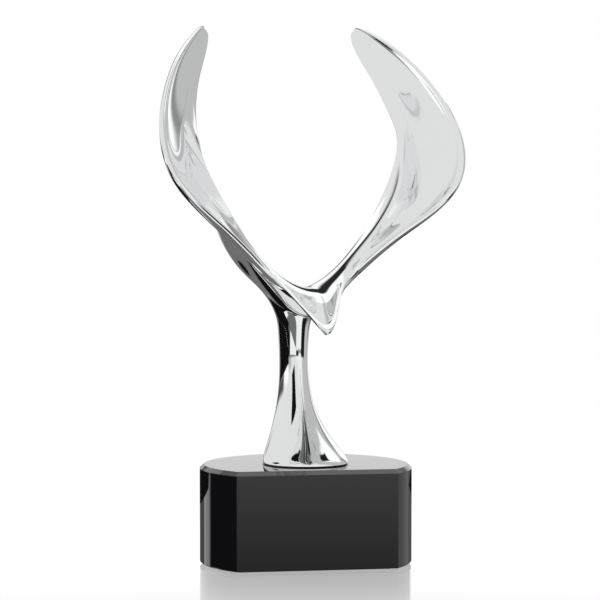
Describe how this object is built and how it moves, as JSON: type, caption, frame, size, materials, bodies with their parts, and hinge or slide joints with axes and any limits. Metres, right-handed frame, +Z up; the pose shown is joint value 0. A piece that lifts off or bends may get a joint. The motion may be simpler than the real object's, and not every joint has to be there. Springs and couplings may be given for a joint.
{
  "type": "figure trophy",
  "caption": "Figure trophy: a chrome bird with raised wings and a swept tail, standing on a thick round base of black glass with a flat front.",
  "frame": {"origin": "centre of the round base on the surface it stands on", "axes": "+Z up, -Y out of the flat front that the bird faces, +X to the viewer's right"},
  "size_m": [0.1636, 0.156, 0.2981],
  "materials": {
    "chrome": "mirror-polished chrome plate",
    "black_glass": "polished opaque black glass",
    "plated_steel": "zinc-plated steel",
    "pin_steel": "ground steel",
    "black_rubber": "matte black rubber",
    "white_nylon": "natural nylon",
    "gasket_sheet": "thin black vinyl",
    "pad_foam": "closed-cell foam, matte"
  },
  "bodies": {
    "root": {"body_casting": "chrome", "left_wing": "chrome", "right_wing": "chrome", "left_wing_pins": "pin_steel", "right_wing_pins": "pin_steel", "glass_base": "black_glass", "base_pad": "pad_foam", "foot_gasket": "gasket_sheet", "hole_sleeve": "white_nylon", "rubber_washer": "black_rubber", "steel_washer": "plated_steel", "spring_washer": "plated_steel", "hex_nut": "plated_steel", "draw_stud": "plated_steel"}
  },
  "joints": []
}
